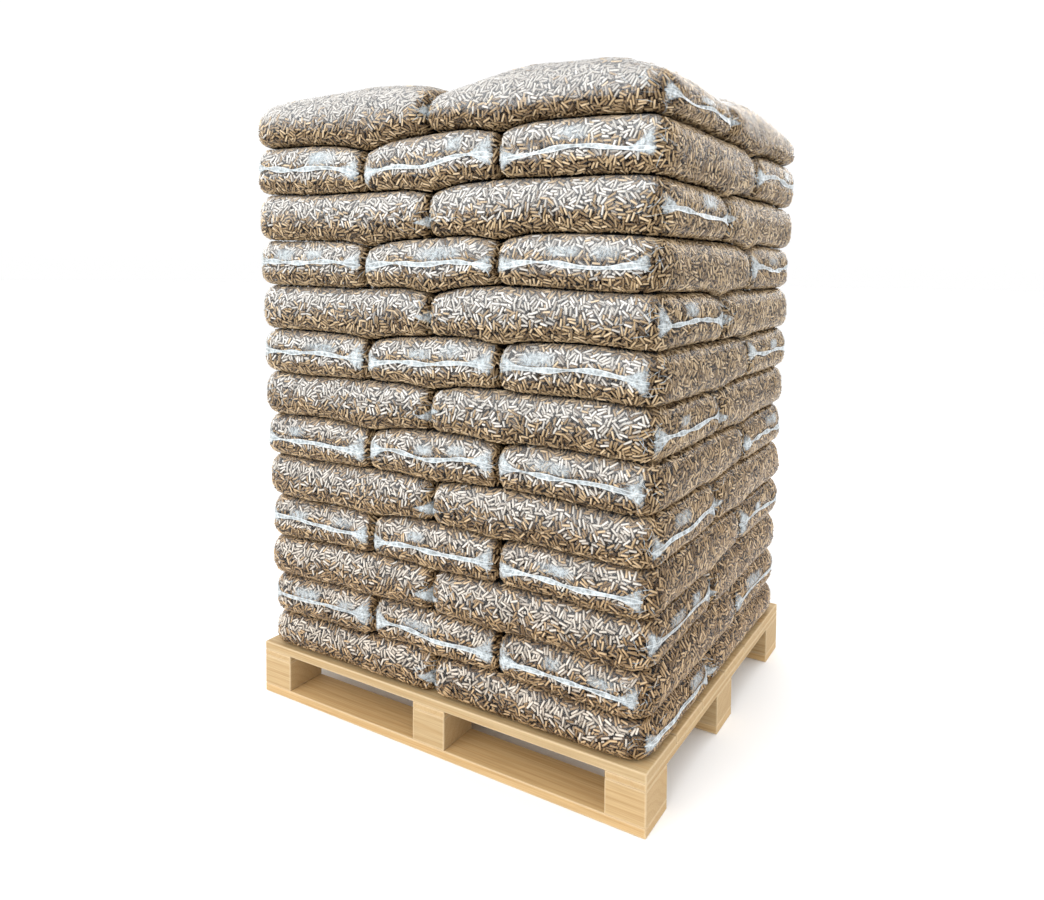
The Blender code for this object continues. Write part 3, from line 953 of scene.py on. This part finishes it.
def end_run(sack, axis, sign):
    """Where a side starts and ends along the outline, and how long the corners beside it are."""
    sides = [(1, -1), (0, 1), (1, 1), (0, -1)]
    index = sides.index((axis, sign))
    straight = [np.flatnonzero(sack.line[:-1, 2 + a] * b > 0.999) for a, b in sides]
    limits = [(sack.run[rows[0]], sack.run[rows[-1]]) for rows in straight]
    first, last = limits[index]
    before = (first - limits[index - 1][1]) % sack.run[-1]
    behind = (limits[(index + 1) % 4][0] - last) % sack.run[-1]
    return first, last, before, behind


def on_wall(sack, run, share, lift):
    """Points just outside a sack's wall."""
    line = sack.line_at(run)
    point = sack.surface(line, np.clip(share, -0.97, 0.97))
    point[:, :2] += line[:, 2:4] * lift
    return point


def room_at(sack, run):
    """Half the height of a sack's wall, at distances along its outline."""
    x, y = sack.line_at(run)[:, :2].T
    return np.minimum((sack.ceiling(x, y) - sack.floor(x, y)) / 2, HIGHEST_ROOM)


def seal_strip(sack, axis, sign, rng):
    """The weld across a sack's end: a narrow strip, with slack film at both corners."""
    first, last, before, behind = end_run(sack, axis, sign)
    columns = SEAL_COLUMNS
    run = np.linspace(first - SEAL_WRAP * before, last + SEAL_WRAP * behind, columns)
    room = room_at(sack, run)
    middle = rng.uniform(*SEAL_LEVEL) + rng.uniform(*SEAL_SLOPE) * np.linspace(-1, 1, columns)
    middle = middle + SEAL_WAVINESS * ripple(run[:, None], SEAL_WAVE, sack.seed + 3)
    edge = np.minimum(run - run[0], run[-1] - run)
    up, down = np.full(columns, FLARE_LEAST), np.full(columns, FLARE_LEAST)
    for start in (run[0], run[-1]):
        near = np.clip(1.15 - np.abs(run - start) / rng.uniform(*FLARE_REACH), 0, 1)
        up += near ** 1.6 * rng.uniform(*FLARE_UP)
        down += near ** 1.8 * rng.uniform(*FLARE_DOWN)
    wave = ripple(run[:, None], SEAL_WIDTH_WAVE, sack.seed + 5)
    half = SEAL_HALF * np.clip(0.92 + 0.42 * wave, 0.4, 1.4)
    half = half * np.clip(edge / SEAL_END, 0.15, 1) ** 0.5
    fade = np.clip(edge / SEAL_FADE, 0.0, 1)
    rows, weld = [], []
    for away, strength in ((-1 - down / half, 0.0), (-1 - down / half / 2, 0.9), (-1, 1.0),
                           (0, 1.0), (1, 1.0), (1 + up / half / 2, 0.9), (1 + up / half, 0.0)):
        away = away * half * np.ones(columns)
        rows.append(on_wall(sack, run, middle + away / room, SEAL_LIFT))
        weld.append(np.c_[0.5 + away / half * SEAL_HALF / WELD_SPAN, fade * strength])
    return np.concatenate(rows), sheet_faces(columns, len(rows)), np.concatenate(weld)


def seal_tab(sack, corner, way, rng):
    """Slack film drawn out of a joint beside a hidden end: widest at the corner."""
    t = np.linspace(0, 1, TAB_COLUMNS)[::way]
    run = corner + way * rng.uniform(*TAB_REACH) * t
    room = room_at(sack, run)
    middle = rng.uniform(*TAB_LEVEL) + rng.uniform(*TAB_SLOPE) * t
    half = 0.001 + rng.uniform(*TAB_HALF) * (1 - t) ** TAB_POWER
    strength = rng.uniform(*TAB_STRENGTH) * np.clip((1 - t) / 0.3, 0, 1)
    rows, weld = [], []
    for away, share in ((-1, 0.0), (-0.6, 0.8), (0, 1.0), (0.6, 0.8), (1, 0.0)):
        rows.append(on_wall(sack, run, middle + away * half / room, SEAL_LIFT))
        weld.append(np.c_[np.full(TAB_COLUMNS, OFF_WELD), strength * share])
    return np.concatenate(rows), sheet_faces(TAB_COLUMNS, len(rows)), np.concatenate(weld)


def slack_patch(sack, first, last, rng):
    """A lap of slack film above the weld, fading out at its edges."""
    width = rng.uniform(*LAP_WIDTH)
    start = rng.uniform(first + LAP_MARGIN, last - width - LAP_MARGIN)
    u, v = np.meshgrid(*(np.linspace(0, 1, cells) for cells in LAP_CELLS))
    run = start + width * u
    share = rng.uniform(*LAP_LEVEL) + rng.uniform(*LAP_HEIGHT) * v
    strength = rng.uniform(*LAP_STRENGTH) * (4 * u * (1 - u)) ** 0.7 * (4 * v * (1 - v)) ** 0.5
    points = on_wall(sack, run.ravel() + 0.01 * share.ravel(), share.ravel(), SEAL_LIFT * 0.6)
    weld = np.c_[np.full(run.size, OFF_WELD), strength.ravel()]
    return points, sheet_faces(*LAP_CELLS), weld


def crease_highlights(sack, corner_run, rng):
    """Fine bright crease lines that fan out over a corner of a sack: painted highlights of the
    film's wrinkles.
    """
    parts = []
    columns = CREASE_COLUMNS
    for _ in range(rng.integers(*CREASE_COUNT)):
        length = rng.uniform(*CREASE_LENGTH)
        angle = rng.uniform(-CREASE_FAN, CREASE_FAN) + rng.choice([0, math.pi])
        t = np.linspace(0, 1, columns)
        turned = angle + rng.normal(0, CREASE_BEND) * t
        run = corner_run + rng.normal(0, CREASE_SPREAD) + length * t * np.cos(turned)
        share = rng.uniform(*CREASE_LEVEL) + length * t * np.sin(turned) / CREASE_HEIGHT
        width = rng.uniform(*CREASE_HALF) * np.sin(math.pi * np.clip(t, 0.08, 0.92))
        rows, weld = [], []
        for side in (-1, 0, 1):
            rows.append(on_wall(sack, run - side * width * np.sin(turned),
                                share + side * width * np.cos(turned) / CREASE_HEIGHT,
                                SEAL_LIFT * 0.8))
            weld.append(np.tile((OFF_WELD, 1.0 if side == 0 else 0.35), (columns, 1)))
        parts.append((np.concatenate(rows), sheet_faces(columns, 3), np.concatenate(weld)))
    return parts


def dress_ends(sack):
    """Seals on the ends that show, tabs beside the hidden ones, and crease lines with painted
    highlights at the corners.
    """
    rng = np.random.default_rng(END_SEED + sack.seed)
    parts = []
    for (axis, sign), shows in sack.shown.items():
        if not shows:
            continue
        first, last, before, behind = end_run(sack, axis, sign)
        if axis == sack.along:
            parts.append(seal_strip(sack, axis, sign, rng))
            parts += [slack_patch(sack, first, last, rng) for _ in range(rng.integers(1, 3))]
        for corner in (first - before / 2, last + behind / 2):
            parts += crease_highlights(sack, corner, rng)
    rng = np.random.default_rng(TAB_SEED + sack.seed)
    for sign in (-1, 1):
        if sack.shown[(sack.along, sign)]:
            continue
        first, last, before, behind = end_run(sack, sack.along, sign)
        turned = sign if sack.along == 0 else -sign
        for corner, way in ((first - TAB_INSIDE * before, -1), (last + TAB_INSIDE * behind, 1)):
            if sack.shown[(1 - sack.along, way * turned)]:
                parts.append(seal_tab(sack, corner, way, rng))
                parts += crease_highlights(sack, corner + way * TAB_CREASES_OUT, rng)
    return parts


# Put it together


def dress_pallet():
    """Give each of the pallet's pieces its own cut of pine."""
    for index, (name, item) in enumerate(sorted(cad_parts.items())):
        if name.startswith("sack_layer"):
            continue
        low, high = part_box(name)
        grain = 1 if name.startswith("cross_board") else 0
        # Runners get painted light
        painted_lightening = RUNNER_PAINTED_LIGHT if name.startswith("runner") else 1.0
        item.material_slots[0].material = pine_material(name, low, high, grain,
                                                        PINE_SEED + index, painted_lightening)


def map_pellets(heap, tones):
    """Lay each pellet on the map by its tone (U) and from its edge to its ridge (V)."""
    corner = np.tile(np.arange(6), len(tones))
    u = np.repeat(tones, 6) + np.where(corner < 3, -MAP_WIDTH, MAP_WIDTH)
    v = np.where(corner % 3 == 1, 0.97, 0.03) + np.where(corner % 3 == 2, MAP_WIDTH, 0.0)
    map_points(heap, "OFBake", np.c_[u, v])


def map_points(piece, name, places):
    """Give a mesh a map, from one place for each vertex."""
    mesh = piece.data
    index = np.empty(len(mesh.loops), np.int32)
    mesh.loops.foreach_get("vertex_index", index)
    layer = mesh.uv_layers.new(name=name)
    layer.uv.foreach_set("vector", places[index].astype(np.float32).ravel())


def build_sacks():
    """Build film, pellets and cores layer by layer, and the seals of all ends."""
    film, pellets, core, weld = film_material(), pellet_material(), core_shade_material(), weld_material()
    patch = pack_patch()
    cores, ends = [], []
    for layer in range(1, LAYER_COUNT + 1):
        shells, loose, tones = [], [], []
        painted_sheen_start = part_way(PAINTED_SHEEN_START_LOW, PAINTED_SHEEN_START_HIGH, layer)
        if layer == LAYER_COUNT:
            painted_sheen_start = PAINTED_SHEEN_START_TOP
        for sack in layer_sacks(layer):
            rng = np.random.default_rng(sack.seed)
            shells.append(sack.mesh(FILM_MESH))
            places = [place_on_wall(sack, patch, rng)]
            if sack.top:
                places.append(place_on_crown(sack, patch, rng))
            for laid, *place in places:
                vertices, faces, tone = pellet_mesh(laid, *place, painted_sheen_start, sack.top, rng)
                loose.append((vertices, faces))
                tones.append(tone)
            inner, inner_quads = sack.mesh(CORE_MESH)
            cores.append((inner - normals_of(inner, inner_quads) * CORE_DEPTH, inner_quads))
            ends += dress_ends(sack)
        shell = mesh_piece(f"sacks_{layer:02d}_film", *stacked(shells), film)
        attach(shell, BODY)
        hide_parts(f"sack_layer_{layer:02d}")
        vertices, faces = stacked(loose)
        flat = np.tile([False, False, True, True], len(faces) // 4)
        heap = mesh_piece(f"sacks_{layer:02d}_pellets", vertices, faces, pellets, flat)
        map_pellets(heap, np.concatenate(tones))
        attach(heap, BODY)
    inside = mesh_piece("pellet_core", *stacked(cores), core)
    seals = mesh_piece("seal_strips", *stacked([part[:2] for part in ends]), weld)
    map_points(seals, "weld", np.concatenate([part[2] for part in ends]))
    for piece in (inside, seals):
        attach(piece, BODY)


def area_light(name, place, target, size, radiance):
    """A soft rectangular light of a given brightness, aimed at a point."""
    light = bpy.data.lights.new(name, "AREA")
    light.shape = "RECTANGLE"
    light.size, light.size_y = size
    light.energy = radiance * math.pi * size[0] * size[1]
    item = bpy.data.objects.new(name, light)
    item.location = place
    item.rotation_euler = (Vector(target) - Vector(place)).to_track_quat("-Z", "Y").to_euler()
    item.visible_camera = False
    SCENE.collection.objects.link(item)


def build_studio():
    """Floor, soft lights and a plain world that grows lighter upward."""
    bpy.ops.mesh.primitive_circle_add(vertices=96, radius=FLOOR_RADIUS, fill_type="NGON",
                                      location=(0, 0, -FLOOR_DROP))
    floor = bpy.context.object
    floor.name = "studio_floor"
    floor.data.materials.append(floor_material())
    for light in LIGHTS:
        area_light(*light)
    world = bpy.data.worlds.new("studio")
    world.use_nodes = True
    tree = world.node_tree
    back = tree.nodes["Background"]
    way = tree.nodes.new("ShaderNodeTexCoord").outputs["Generated"]
    split = tree.nodes.new("ShaderNodeSeparateXYZ")
    tree.links.new(way, split.inputs[0])
    ramp = tree.nodes.new("ShaderNodeValToRGB")
    tree.links.new(split.outputs["Z"], ramp.inputs["Fac"])
    for element, level in zip(ramp.color_ramp.elements, WORLD_LIGHT):
        element.color = (level, level, level, 1)
    tree.links.new(ramp.outputs["Color"], back.inputs["Color"])
    SCENE.world = world
    SCENE.view_settings.view_transform = "Standard"


def build_camera():
    """The photograph's camera, found from the corners of the pallet and the stack."""
    yaw, pitch, roll = (math.radians(a) for a in CAMERA_TURN)
    ahead = Vector((math.sin(yaw) * math.cos(pitch), math.cos(yaw) * math.cos(pitch),
                    -math.sin(pitch)))
    level = Vector((math.cos(yaw), -math.sin(yaw), 0))
    up = level.cross(ahead)
    right = level * math.cos(roll) + up * math.sin(roll)
    up = up * math.cos(roll) - level * math.sin(roll)
    camera = bpy.data.cameras.new("camera")
    width, height = PHOTO_SIZE
    camera.sensor_width = SENSOR
    camera.lens = FOCAL_PIXELS * SENSOR / width
    camera.shift_x = (width / 2 - PHOTO_CENTRE[0]) / width
    camera.shift_y = (PHOTO_CENTRE[1] - height / 2) / width
    item = bpy.data.objects.new("camera", camera)
    SCENE.collection.objects.link(item)
    turn = Matrix((right, up, -ahead)).transposed().to_4x4()
    item.matrix_world = Matrix.Translation(CAMERA_PLACE) @ turn
    SCENE.camera = item


build_camera()
dress_pallet()
build_sacks()
build_studio()
